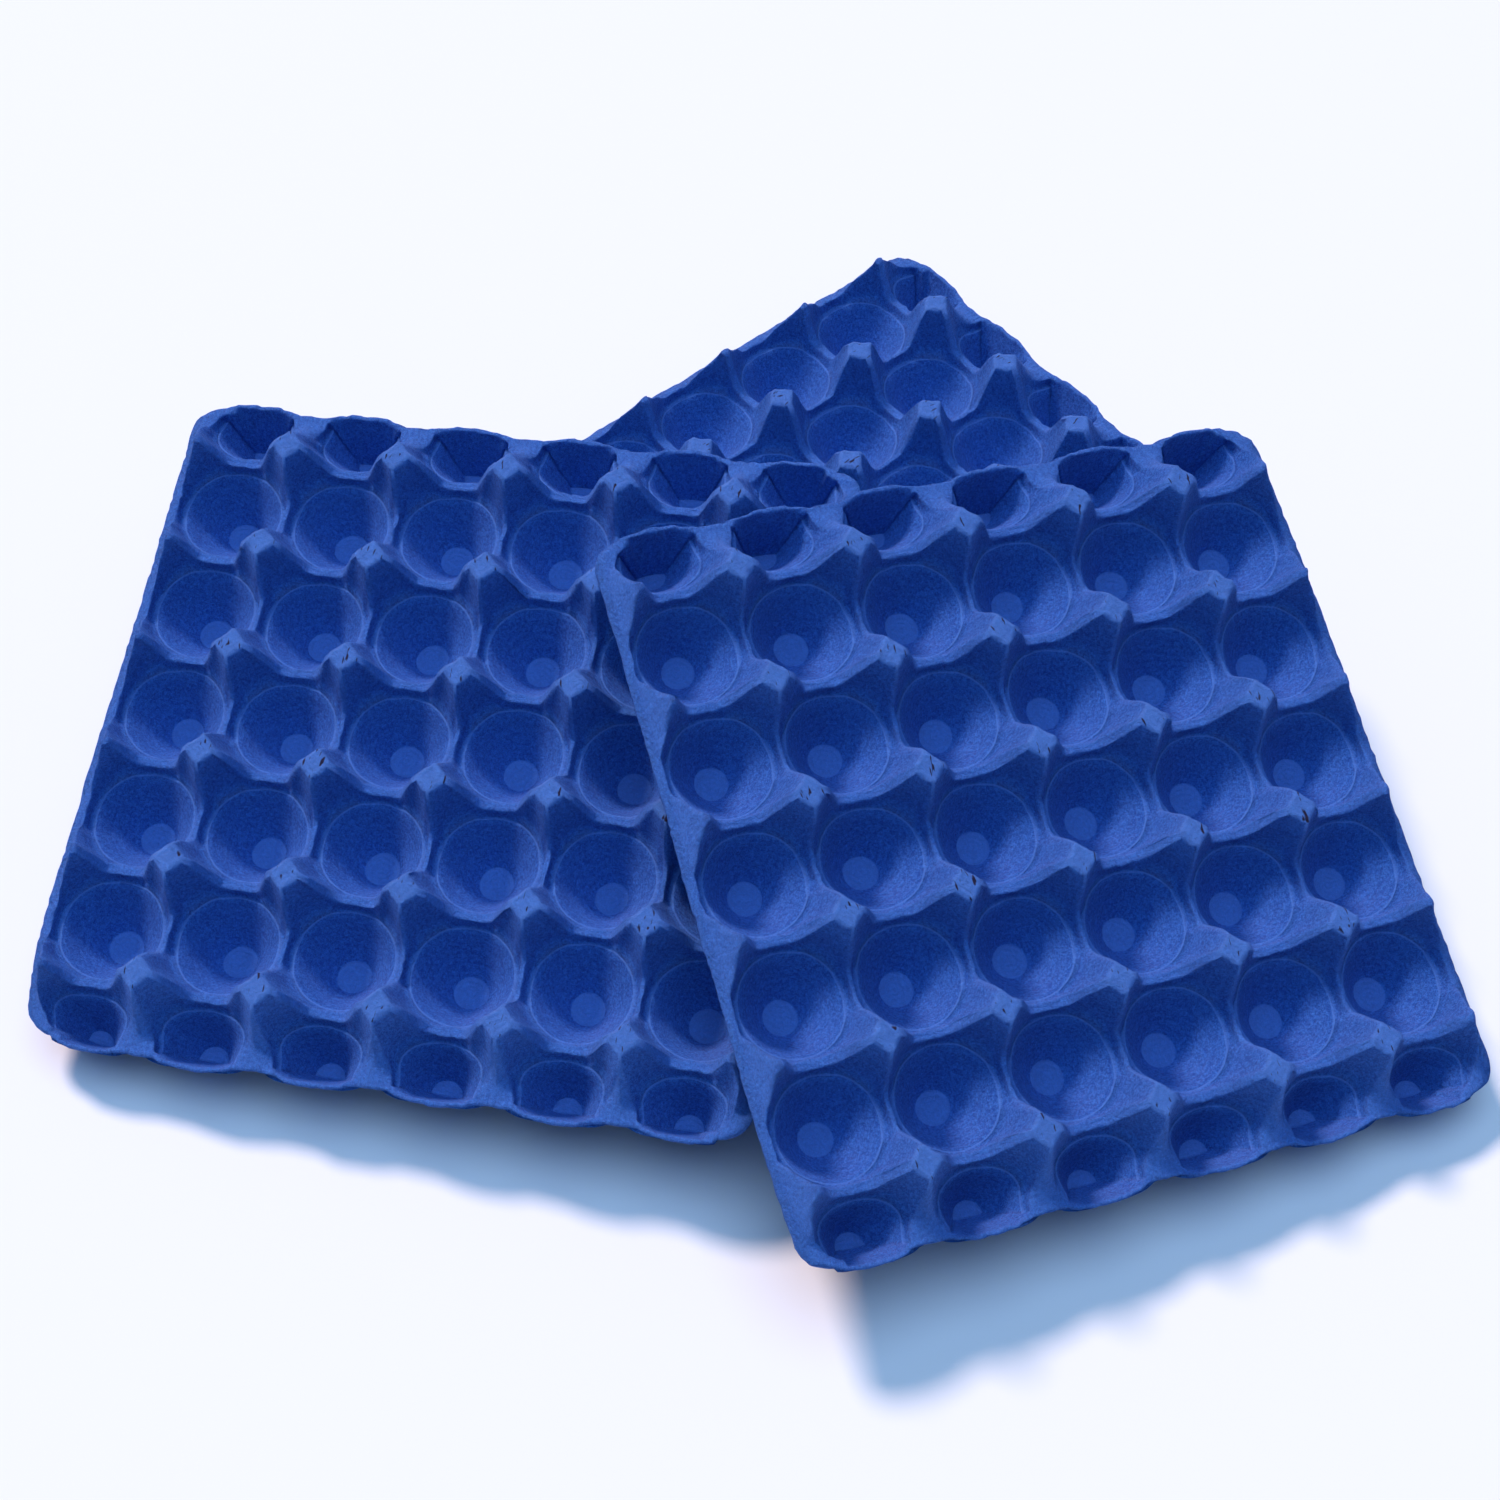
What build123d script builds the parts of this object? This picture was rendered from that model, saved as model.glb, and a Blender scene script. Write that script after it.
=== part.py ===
from build123d import *
import math
import os

# Three moulded pulp trays for thirty eggs each, fanned out in a loose pile.
# A tray is one thin sheet of pulp, pressed into cups that hang down and posts that stand up.
# Tray frame: x runs along the rows of six cups, y along the files of five, and z 0 is the plane
# that the undersides of the cups rest on. The middle of the tray is at x 0, y 0.
# Pile frame: z 0 is the floor, and the origin is in the middle of the pile's footprint.

# Lattice of the tray, from cup to cup and from post to post
pitch = 48.0
cups_across = 6
full_rows = 5

# Overall height, and the thickness of the pulp
height = 46.0
wall = 2.0

# Cup: flat disc at the bottom, eight-sided bowl up to a seam, steeper flanks above it
disc_radius = 6.8
seam_radius = 20.5
seam_height = 21.5

# Post: the flanks of four cups lean together up to a flat top
post_half_width = 7.0

# Saddle between two cups: a low bar, from whose ends the ridges of the posts rise
bar_height = 25.3
bar_half_length = 9.0

# Half cup of the first and the last row, closed by a leaning outer wall
half_disc_radius = 6.0
half_disc_inset = 5.5
rim_outset = 3.5
shoulder_half_width = 17.5
shoulder_drop = 1.5
crown_half_width = 8.5

# Outer edge: a narrow flange, scalloped outside the half cups, with half posts along two sides
side_flange = 3.0
end_flange = 2.5
scallop_half_width = 21.0
half_post_inset = 8.0
corner_radius = 12.0

# Place of each tray in the pile: its middle, the way its rows run, and the way it slopes down
back_place = (53.7, 77.6)
back_heading = -48.5
left_place = (-117.6, -39.6)
left_heading = -8.0
left_downhill = -118.5
front_place = (111.6, -73.7)
front_heading = 20.1
front_downhill = -50.5

# Air left between trays that lie on each other, the steepest lean, and the halvings that find the lean
clearance = 0.2
steepest_lean = 45.0
halvings = 12

# How far a cutting solid runs past the sheet
over = 6.0

half_x = cups_across * pitch / 2
half_y = (full_rows + 1) * pitch / 2
columns = [(i - (cups_across - 1) / 2) * pitch for i in range(cups_across)]
rows = [(k - (full_rows - 1) / 2) * pitch for k in range(full_rows)]
top = height + over
rim_underside = bar_height - wall
through = 2 * (half_x + half_y)

# Lean of each face, as run per unit of height
bowl_lean = (seam_radius - disc_radius) / (seam_height - wall)
flank_lean = (pitch / 2 - seam_radius) / (height - seam_height)
ridge_lean = (pitch / 2 - post_half_width - bar_half_length) / (height - bar_height)
corner_lean = (flank_lean + ridge_lean) / math.sqrt(2)
half_post_lean = half_post_inset / (height - bar_height)
half_bowl_lean = (seam_radius - half_disc_radius) / (seam_height - wall)
half_middle_lean = half_disc_inset / (seam_height - wall)

# Plan of a cup at its seam: an octagon, with half the length of the sides that face the next cups
seam_half_side = bar_half_length - ridge_lean * (bar_height - seam_height)
seam_corner = (seam_radius + seam_half_side) / math.sqrt(2)

# Half cup at the height of the rim: its middle, its size, and its reach towards the outer wall
rim_middle = half_y - half_disc_inset + half_middle_lean * (bar_height - wall)
rim_radius = half_disc_radius + half_bowl_lean * (bar_height - wall)
crown_share = (half_y + rim_outset - rim_middle) / rim_radius
crown_lean = half_middle_lean + half_bowl_lean * crown_share


def thickness(lean):
    """Horizontal distance between the two faces of the sheet where it leans by lean per unit of height."""
    return wall * math.hypot(lean, 1)


def stack(*rings):
    """Solid with flat sides through polygons one above the other, whose sides keep their directions."""
    faces = [Face(Wire.make_polygon(rings[0])), Face(Wire.make_polygon(rings[-1]))]
    for low, high in zip(rings, rings[1:]):
        for a, b, c, d in zip(low, low[1:] + low[:1], high[1:] + high[:1], high):
            faces.append(Face(Wire.make_polygon([a, b, c, d])))
    return Solid(Shell(faces))


def octagon(radius, half_side, z):
    """Corners at height z of an octagon, whose sides across x and y have the given half length."""
    quarter = [(radius, half_side), (half_side, radius)]
    turns = [(1, 0), (0, 1), (-1, 0), (0, -1)]
    return [Vector(x * c - y * s, x * s + y * c, z) for c, s in turns for x, y in quarter]


def diamond(corner, z):
    """Corners at height z of a square, whose sides lie on the diagonals, corner away from its middle."""
    reach = corner * math.sqrt(2)
    return [Vector(x * reach, y * reach, z) for x, y in ((1, 0), (0, 1), (-1, 0), (0, -1))]


def seam_shape(radius, z):
    """Octagon like the seam's, of another size."""
    return octagon(radius, seam_half_side * radius / seam_radius, z)


def flank_shape(z):
    """Octagon that the flanks leave open at height z."""
    rise = z - seam_height
    return octagon(seam_radius + flank_lean * rise, seam_half_side + ridge_lean * rise, z)


def flanks_below():
    """Outside of the flanks that face the posts, one wall further out."""
    foot = seam_corner + thickness(corner_lean) - corner_lean * seam_height
    return stack(diamond(foot, 0), diamond(foot + corner_lean * top, top))


def cup_above():
    """Hollow of a cup: the bowl, and the flanks on top of it."""
    return stack(seam_shape(disc_radius, wall), flank_shape(seam_height), flank_shape(top))


def cup_below():
    """Outside of a cup, one wall further out than its hollow."""
    foot = disc_radius - bowl_lean * wall + thickness(bowl_lean)
    return stack(seam_shape(foot, 0), seam_shape(foot + bowl_lean * top, top)) & flanks_below()


def half_outline(radius, middle, crown, z):
    """Corners of a half cup: half an octagon towards the tray, three flat sides towards the edge."""
    size = radius / rim_radius
    inner = sorted((p for p in seam_shape(radius, z) if p.Y < 0), key=lambda p: p.X)
    outer = [(shoulder_half_width * size, crown - shoulder_drop * size), (crown_half_width * size, crown)]
    outer += [(-x, y) for x, y in reversed(outer)]
    return [Vector(p.X, middle + p.Y, z) for p in inner] + [Vector(x, middle + y, z) for x, y in outer]


def half_cup_above():
    """Hollow of the half cup at +y, over the middle of the tray in x."""
    levels = []
    for z in (wall, top):
        radius = half_disc_radius + half_bowl_lean * (z - wall)
        middle = half_y - half_disc_inset + half_middle_lean * (z - wall)
        levels.append(half_outline(radius, middle, radius * crown_share, z))
    return stack(*levels) & Pos(0, half_y) * stack(flank_shape(wall), flank_shape(top))


def half_cup_below():
    """Outside of the half cup, one wall further out, whose size follows from its inner and outer edge."""
    inner_lean = half_middle_lean - half_bowl_lean
    inner_rim = rim_middle - rim_radius - thickness(inner_lean)
    outer_rim = half_y + rim_outset + thickness(crown_lean)
    share = (outer_rim - inner_rim) / (rim_radius + thickness(half_bowl_lean)) - 1
    levels = []
    for z in (0, top):
        inner = inner_rim + inner_lean * (z - bar_height)
        outer = outer_rim + crown_lean * (z - bar_height)
        size = (outer - inner) / (1 + share)
        levels.append(half_outline(size, inner + size, size * share, z))
    return stack(*levels) & Pos(0, half_y) * flanks_below()


def prism(section):
    """Prism along x, longer than the tray, with the given section in y and z."""
    return extrude(make_face(Plane.YZ * Polyline(*section, close=True)), amount=through / 2, both=True)


def channel():
    """Trough along x that leaves the bars at its floor and the ridges at its sides."""
    mouth = bar_half_length + ridge_lean * (top - bar_height)
    floor = [(-bar_half_length, bar_height), (bar_half_length, bar_height)]
    return prism(floor + [(mouth, top), (-mouth, top)])


def edge_cut(foot, lean, floor):
    """Everything above the floor and beyond a plane that leans inwards from y foot."""
    beyond = foot + pitch
    return prism([(foot, floor), (beyond, floor), (beyond, top), (foot - lean * (top - floor), top)])


def outline(margin):
    """Plan of the sheet without its scallops."""
    width = 2 * (half_x + side_flange + margin)
    depth = 2 * (half_y + end_flange + margin)
    return RectangleRounded(width, depth, corner_radius + margin)


def scalloped_outline():
    """Plan of the sheet, with a flat bulge outside each half cup."""
    edge = half_y + end_flange
    crown = half_y + rim_outset + thickness(crown_lean)
    right = [(scallop_half_width, 0), (scallop_half_width, edge), (crown_half_width, crown)]
    bulge = make_face(Polyline(*right, *[(-x, y) for x, y in reversed(right)], close=True))
    plan = outline(0)
    for x in columns:
        plan += [Pos(x, 0) * bulge, Pos(x, 0) * Rot(0, 0, 180) * bulge]
    return plan


def cut_cups(block, cup, half_cup):
    """Block with all full cups and then all half cups cut away."""
    block = block.cut(*[Pos(x, y) * cup for x in columns for y in rows])
    return block.cut(*[Rot(0, 0, turn) * Pos(x, 0) * half_cup for x in columns for turn in (0, 180)])


def above():
    """Block with everything above the sheet cut away."""
    block = Pos(0, 0, -over) * extrude(scalloped_outline(), height + over)
    block = cut_cups(block, cup_above(), half_cup_above())
    along = channel()
    across = Rot(0, 0, 90) * along
    troughs = [Pos(0, y) * along for y in rows + [-half_y, half_y]]
    troughs += [Pos(x, 0) * across for x in columns]
    side = edge_cut(half_x, half_post_lean, bar_height)
    return block.cut(*troughs, *[Rot(0, 0, turn) * side for turn in (90, -90)])


def below():
    """Block of everything below the sheet, wider than the tray."""
    block = Pos(0, 0, -2 * over) * extrude(outline(pitch / 2), height - wall + 2 * over)
    block = cut_cups(block, cup_below(), half_cup_below())
    side_foot = half_x + half_post_lean * wall - thickness(half_post_lean)
    end_foot = half_y - bar_half_length + ridge_lean * wall - thickness(ridge_lean)
    side = edge_cut(side_foot, half_post_lean, rim_underside)
    end = edge_cut(end_foot, ridge_lean, rim_underside)
    edges = [Rot(0, 0, turn) * side for turn in (90, -90)]
    edges += [Rot(0, 0, turn) * end for turn in (0, 180)]
    return block.cut(*edges)


def leaning(tray, place, heading, downhill, lean):
    """Tray with its lowest corner on the floor, sloping down by lean towards the downhill direction."""
    slope = math.radians(downhill)
    hinge = Axis((0, 0, 0), (-math.sin(slope), math.cos(slope), 0))
    turned = tray.rotate(Axis.Z, heading).rotate(hinge, lean)
    lowest = min(corner.Z for corner in turned.vertices())
    return Pos(*place, -lowest) * turned


def overlaps(one, other):
    """Whether two solids share any volume."""
    common = one & other
    return bool(common) and common.volume > 0


def leaned_on(tray, supports, place, heading, downhill):
    """Tray let down on the floor and on its supports, until it clears them by no more than the clearance."""
    raised = [Pos(0, 0, clearance) * support for support in supports]
    low = 0.0
    high = steepest_lean
    for _ in range(halvings):
        lean = (low + high) / 2
        tried = leaning(tray, place, heading, downhill, lean)
        if any(overlaps(tried, support) for support in raised):
            low = lean
        else:
            high = lean
    return leaning(tray, place, heading, downhill, high)


tray = (above() - below()).solids()[0]
back = leaning(tray, back_place, back_heading, 0, 0)
left = leaned_on(tray, [back], left_place, left_heading, left_downhill)
front = leaned_on(tray, [back, left], front_place, front_heading, front_downhill)

middle = Compound([back, left, front]).bounding_box().center()
os.makedirs("parts", exist_ok=True)
for name, solid in (("back_tray", back), ("left_tray", left), ("front_tray", front)):
    placed = Pos(-middle.X, -middle.Y) * solid
    export_step(placed, f"parts/{name}.step")
    print(name, placed.volume, placed.bounding_box())
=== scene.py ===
import math

import bpy
import numpy as np
from mathutils import Matrix, Vector


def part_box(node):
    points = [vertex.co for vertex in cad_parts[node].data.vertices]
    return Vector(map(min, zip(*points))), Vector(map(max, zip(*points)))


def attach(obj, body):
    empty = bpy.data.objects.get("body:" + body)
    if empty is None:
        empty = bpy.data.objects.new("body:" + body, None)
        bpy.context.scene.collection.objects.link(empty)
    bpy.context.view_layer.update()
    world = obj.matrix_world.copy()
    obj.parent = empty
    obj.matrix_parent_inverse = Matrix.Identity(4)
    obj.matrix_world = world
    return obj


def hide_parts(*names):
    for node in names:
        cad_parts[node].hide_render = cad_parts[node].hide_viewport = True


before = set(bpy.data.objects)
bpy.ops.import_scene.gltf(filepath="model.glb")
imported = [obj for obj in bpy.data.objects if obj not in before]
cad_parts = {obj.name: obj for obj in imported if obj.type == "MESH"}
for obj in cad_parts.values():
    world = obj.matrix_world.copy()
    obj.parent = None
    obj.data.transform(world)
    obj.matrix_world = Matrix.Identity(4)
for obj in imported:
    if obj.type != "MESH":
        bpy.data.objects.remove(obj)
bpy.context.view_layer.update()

# Three trays of moulded pulp for thirty eggs each, fanned out in a loose pile.
# Lengths are in millimetres until a mesh is made. In a tray's own frame x runs along the rows of
# six cups, y along the files of five, and z 0 is the plane that the cups rest on.
# A tray is built cup by cup. Each cup has a square cell of the lattice, and a grid of rings round
# its disc and of spokes out to the cell's border, where the next cell's grid begins. Spokes are
# counted from x towards y. A share runs from 0 to 1.

# Lattice and sheet
PITCH = 48.0
CELL = PITCH / 2
COLUMNS = 6
FULL_ROWS = 5
HEIGHT = 46.0
WALL = 2.0

# Disc at the bottom of a cup, slightly dished. Each inner ring has its share of the way out and of
# the dish. The rounded edge starts before the disc's end and bulges a little past it.
DISC_RADIUS = 7.0
DISC_DISH = 0.25
DISC_INNER_RINGS = ((0.45, 0.2), (0.8, 0.64))
DISC_EDGE_START = 0.98
DISC_EDGE_END = 0.0125
DISC_EDGE_BULGE = 0.05

# Bowl: where it ends at the seam, how far its line sags, the share of that sag on a half cup's
# outer wall, and the rings along the line
BOWL_RADIUS = 20.2
BOWL_HEIGHT = 21.2
BOWL_BELLY = 0.7
OUTER_WALL_BELLY = 0.3
BOWL_RINGS = (0.06, 0.23, 0.42, 0.61, 0.81, 1.0)

# Seam between bowl and flanks: a lip, and a narrow ledge behind it
LIP_RADIUS = 20.95
LIP_HEIGHT = 21.7
LEDGE_RADIUS = 21.2
LEDGE_HEIGHT = 21.35

# Saddle: a low bar between two cups, with a step down to a ledge on each side. The bars between
# the cups of a row are narrow, those between two rows are wide.
BAR_HEIGHT = 25.3
BAR_HALF_WIDTH = 1.9
THIN_BAR_HALF_WIDTH = 0.8
BAR_HALF_LENGTH = 8.0
STEP_RADIUS = 21.3
THIN_STEP_RADIUS = 22.4
STEP_HEIGHT = 20.8
SADDLE_RADIUS = 20.1
SADDLE_HEIGHT = 20.4
SADDLE_LIP_OUT = 0.3
SADDLE_LIP_UP = 0.15

# Angles at which the bar and the ridge end on the seam, and the share of the bar's angle on which
# the saddle keeps its full form
BAR_ANGLE = math.radians(21.2)
RIDGE_ANGLE = math.radians(28.0)
SADDLE_LEVEL = 0.75

# Post: a rhombus on top, whose ridges run down to the bars
POST_HALF_WIDTH = 7.0
RIDGE_BLEND = 0.8
RIDGE_NARROWING = 0.75

# Slope of the half posts along two sides, the flange at its foot, the share to which the flange's
# inner line is drawn in, and the sheet's rounded corners with the band that stays free there
HALF_POST_RUN = 8.0
SIDE_FLANGE = 3.0
SIDE_SHELF = 0.93
CORNER_RADIUS = 12.0
CORNER_BAND = 1.9

# Half cup: its disc is nearer the middle of the tray, and has a flat arch at the outer wall's foot
HALF_DISC_RADIUS = 6.0
HALF_DISC_INSET = 5.5
HALF_DISC_DOME = 0.7
HALF_DISC_ARCH = 0.6

# Rim of the outer wall: how far its crown stands out, how its spokes crowd, how many of them lead
# straight out over the flange, and over how many the bar's form gives way to the wall's
RIM_HALF_WIDTH = CELL - THIN_BAR_HALF_WIDTH
RIM_CROWN = 3.9
RIM_CROWDING = 0.9
RIM_LEAD = 3
RIM_BLEND = 5.0

# Outer wall: the shares that place the seam and the foot below the rim, and the lip and the ledge
# on the way up to it
RIM_SEAM = 0.9
RIM_FOOT = 0.93
RIM_LIP = 0.12
RIM_LEDGE = 0.25

# Fan-shaped ridges between the half cups, and the scalloped edge of the sheet outside them
FAN_HALF_WIDTH = 7.5
FAN_LENGTH = CELL - POST_HALF_WIDTH
FAN_SAG = 1.7
END_FLANGE = 2.5
SCALLOP_RISE = 3.0
SCALLOP_HALF_WIDTH = 17.0
SCALLOP_POWER = 2.4

# Rings up a wall, as shares of its straight part
WALL_RINGS = (0.33, 0.66, 1.0)

# Rounding of the pressed edges: down the wall, onto the top and off the corner between them, first
# along bars and ridges, then around the posts, and the shares that it leaves and takes at most
EDGE_WALL = (0.7, 1.9)
EDGE_TOP = (0.6, 1.5)
EDGE_PULL = (0.2, 0.5)
WALL_LEFT = 0.6
TOP_TAKEN = 0.6

# Underside: its disc, how much wider that is than the upper one, its arch at an outer wall, and
# the share of the disc that is quite flat
UNDER_DISC_HEIGHT = 0.35
UNDER_DISC_MARGIN = 0.9
UNDER_HALF_DISC_MARGIN = 1.0
UNDER_HALF_DISC_ARCH = 1.9
UNDER_DISC_FLAT = 0.93

# Underside of the bars, and how much lower it is at a cell's border, on the way there and at the
# crease, where a cup's cone meets it, and the most of the way to the border that the crease takes
UNDER_BAR = BAR_HEIGHT - WALL
UNDER_BORDER_SAG = 0.1
UNDER_TOP_SAG = 0.15
UNDER_CREASE_SAG = 0.3
UNDER_CREASE_REACH = 0.95

# Hollow below a post: the distances along the diagonal, from the cup's middle, where it starts to
# rise and where its flat top starts, and the most of the way to the border that the latter takes
HOLLOW_FOOT = 22.5
HOLLOW_TOP = 30.4
HOLLOW_REACH = 0.93

# Underside of an outer wall and of a half post's slope: how far outside the upper side they lie
UNDER_RIM_OUT = 1.2
UNDER_RIM_CREASE = 0.93
UNDER_SLOPE_OUT = 1.4

# Unevenness of the pulp: size of the bumps and how far they push the surface, the same for the
# ragged edges, the squeeze of their noise along z, and the sides of the two tables of noise
BUMPS = ((50.0, 0.5), (17.0, 0.35), (6.0, 0.20))
RAGGED_SIZE = 2.6
RAGGED_PUSH = 0.5
RAGGED_SQUEEZE = (1.0, 1.0, 0.3)
BUMP_TABLE = 48
RAGGED_TABLE = 64

# How pale the sheet is painted: on the discs, as painted light where they face up; just below the upper
# edges, on them, and on the posts down to a little below their tops, partly as rubbed wear and partly as
# painted highlight on the lit tops. How ragged it is just below the upper edges.
PAINTED_LIGHT_DISC = 0.9
WORN_AND_LIT_BELOW_EDGE = 0.2
WORN_AND_LIT_EDGE = 0.4
WORN_AND_LIT_POST = 0.9
POST_TOP_BAND = 0.8
RAGGED_BELOW_EDGE = 0.4

# Places of the rings on the upper side: the disc's come first, then its edge and the bowl's, and
# the last four are the upper edge, its rounding, the shelf and the border
DISC_RINGS = 2 + len(DISC_INNER_RINGS)
SEAM_RING = DISC_RINGS + 1 + len(BOWL_RINGS)
EDGE_RINGS = 4

# Spokes per eighth of a cup: along the bar, the ridge and the post
BAR_STEPS = 3
RIDGE_STEPS = 3
POST_STEPS = 3
EIGHTH = BAR_STEPS + RIDGE_STEPS + POST_STEPS

# Points that fall on the same step are merged, with so many steps per millimetre. The tiny value
# keeps divisions and comparisons safe.
MERGE_STEPS = 200
TINY = 1e-6
MM_PER_M = 1000

# The way each tray's rows run, the way it slopes down, and by how much, in degrees
TRAYS = {
    "back_tray": (-48.5, 0.0, 0.0),
    "left_tray": (-8.0, -118.5, 11.02),
    "front_tray": (20.1, -50.5, 17.89),
}

# Corners that were knocked blunt: on which sides of the middle, how far each is driven in, and
# how far from its tip that reaches
BLUNTED = {"back_tray": (1, 1, 9.0), "left_tray": (-1, -1, 7.0), "front_tray": (-1, -1, 2.5)}
BLUNT_REACH = 34.0

# Sizes in the pulp: fibres, fibre ends, clots, the spacing of the rings and the width of a tear,
# whose width is this share of its length
FIBRE = 1.3333
FIBRE_END = 0.5
CLOT = 4.5455
RING_SPACING = 2.244
TEAR_WIDTH = 1.4286
TEAR_SLENDERNESS = 0.22

# Colours of the pulp: the dye at its darkest and palest, fibres, the paler colour for worn places and
# painted light, the painted shade in tears, and bloom
DARK_DYE = "004eae"
PALE_DYE = "0060c8"
FIBRE_COLOUR = "4898f8"
WORN_AND_LIT_COLOUR = "68a4fc"
TEAR_SHADE_COLOUR = "02102c"
BLOOM_COLOUR = "c8a8ff"

# Relief of the rings and of the felt, in metres
RING_RELIEF = 0.00025
FELT_RELIEF = 0.0014

# Sockets that a Mix node of colours has by number, the factor that a wave texture puts on the
# distance, and a range that no tray reaches
MIX_A = 6
MIX_B = 7
MIXED = 2
WAVE_FACTOR = 20.0
FAR = 1000.0

# Floor: its size in metres and its colour
FLOOR_SIZE = 40.0
FLOOR_COLOUR = "f4f4f4"

# Camera: where it looks, from how far, how steeply, and how far it is rolled
VIEW_TARGET = (-0.0065, -0.0367, 0.040)
VIEW_DISTANCE = 1.03724
VIEW_ELEVATION = math.radians(55.18)
VIEW_ROLL = math.radians(2.248)
VIEW_ANGLE = math.radians(33.468)

# Key light: where it comes from, counted from x towards y and up from the floor, and its size
KEY_AZIMUTH = math.radians(132.0)
KEY_ELEVATION = math.radians(50.0)
KEY_SPREAD = math.radians(12.0)
KEY_COLOUR = "ffe6e0"
KEY_STRENGTH = 3.0

# Soft light from straight above, and the sky that fills the rest
TOP_SPREAD = math.radians(50.0)
TOP_COLOUR = "a8d0ff"
TOP_STRENGTH = 1.7
SKY_COLOUR = "a8d0ff"
SKY_STRENGTH = 0.22


def smooth(x):
    """Weight that rises from 0 to 1 while x does, level at both ends: x squared times 3 less 2 x."""
    x = np.clip(x, 0.0, 1.0)
    return x * x * (3.0 - 2.0 * x)


def lerp(a, b, t):
    """Point a share t of the way from a to b."""
    return a + (b - a) * t


def diagonal(points):
    """Distance from the cup's middle along the diagonal: the sum of x and y over the root of 2."""
    return np.abs(points[:, :2]).sum(axis=1) / math.sqrt(2)


def round_about(angle, radius, height):
    """Points at the given angles, radius and height."""
    radius = np.broadcast_to(radius, angle.shape)
    height = np.broadcast_to(height, angle.shape)
    return np.stack([radius * np.cos(angle), radius * np.sin(angle), height], axis=1)


def parts_of_eighth(bar, ridge, post):
    """Values at an eighth's spokes, each stretch from its first to its last value in equal steps."""
    return np.concatenate([
        np.linspace(bar[0], bar[1], BAR_STEPS + 1),
        np.linspace(ridge[0], ridge[1], RIDGE_STEPS + 1)[1:],
        np.linspace(post[0], post[1], POST_STEPS + 1)[1:],
    ])


def ridge_height(along):
    """Height of the crest between two cups, at a distance along it from the middle of the bar.

    It is level on the bar and then rises evenly to the post, and a logarithm of one plus an
    exponential rounds the bend between the two.
    """
    rise = (HEIGHT - BAR_HEIGHT) / (CELL - POST_HALF_WIDTH - BAR_HALF_LENGTH)
    bend = RIDGE_BLEND * np.log1p(np.exp((np.abs(along) - BAR_HALF_LENGTH) / RIDGE_BLEND))
    return np.minimum(BAR_HEIGHT + rise * bend, HEIGHT)


def eighth(half_width):
    """Angle, upper edge and border of each spoke from a bar to the post, for the eighth next to x.

    The upper edge follows the bar, then the ridge, which narrows a little, then the straight side
    of the post. The border is the line between this cell and the next one.
    """
    angle = parts_of_eighth((0, BAR_ANGLE), (BAR_ANGLE, RIDGE_ANGLE), (RIDGE_ANGLE, math.pi / 4))
    strip = RIDGE_NARROWING * half_width
    post = CELL - POST_HALF_WIDTH + strip
    middle = CELL - POST_HALF_WIDTH / 2
    bar_x = CELL - half_width
    ridge_x = CELL - strip
    edge_x = parts_of_eighth((bar_x, bar_x), (bar_x, ridge_x), (ridge_x, middle))
    edge_y = parts_of_eighth((0, BAR_HALF_LENGTH), (BAR_HALF_LENGTH, post), (post, middle))
    border_y = parts_of_eighth((0, BAR_HALF_LENGTH), (BAR_HALF_LENGTH, post), (post, CELL))
    edge = np.stack([edge_x, edge_y, ridge_height(edge_y)], axis=1)
    edge[-POST_STEPS:, 2] = HEIGHT
    border = np.stack([np.full(EIGHTH + 1, CELL), border_y, ridge_height(border_y)], axis=1)
    return angle, edge, border


def plain_quarter():
    """Spokes of the quarter between x and y: the thin bar's eighth, and the wide bar's mirrored."""
    angle, edge, border = eighth(THIN_BAR_HALF_WIDTH)
    wide_angle, wide_edge, wide_border = eighth(BAR_HALF_WIDTH)
    swap = [1, 0, 2]
    angle = np.concatenate([angle, math.pi / 2 - wide_angle[-2::-1]])
    edge = np.concatenate([edge, wide_edge[-2::-1][:, swap]])
    border = np.concatenate([border, wide_border[-2::-1][:, swap]])
    return angle, edge, border


def saddle_share(angle):
    """Share of the saddle's form at an angle from the nearest bar: 1 beside it, 0 beside the posts."""
    level = SADDLE_LEVEL * BAR_ANGLE
    return 1.0 - smooth((angle - level) / (RIDGE_ANGLE - level))


def slope_height(x):
    """Height of the slope of a half post: the bar's height from the cell's line on, rising inwards."""
    return BAR_HEIGHT + np.maximum(CELL - x, 0.0) * (HEIGHT - BAR_HEIGHT) / HALF_POST_RUN


def cut_by_slope(foot, edge):
    """Upper edge where each line from foot to edge first meets the slope of the half post."""
    lean = (HEIGHT - BAR_HEIGHT) / HALF_POST_RUN
    over = edge[:, 2] - foot[:, 2] + lean * (edge[:, 0] - foot[:, 0])
    share = (slope_height(foot[:, 0]) - foot[:, 2]) / over
    return lerp(foot, edge, np.clip(share, 0.0, 1.0)[:, None])


def within_corner(points, band):
    """Points drawn in to the arc that lies a band's width inside the sheet's rounded corner."""
    centre = np.array([CELL + SIDE_FLANGE - CORNER_RADIUS, END_FLANGE - CORNER_RADIUS])
    away = points[:, :2] - centre
    size = np.maximum(np.hypot(away[:, 0], away[:, 1]), TINY)
    limit = CORNER_RADIUS - band
    near = (away > 0).all(axis=1) & (size > limit)
    moved = points.copy()
    moved[near, :2] = centre + away[near] * (limit / size[near])[:, None]
    return moved


def scallop(x):
    """How far the sheet's edge bulges out beside a half cup: 1 less a power of x, times the rise."""
    return SCALLOP_RISE * np.clip(1.0 - (np.abs(x) / SCALLOP_HALF_WIDTH) ** SCALLOP_POWER, 0.0, 1.0)


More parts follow.
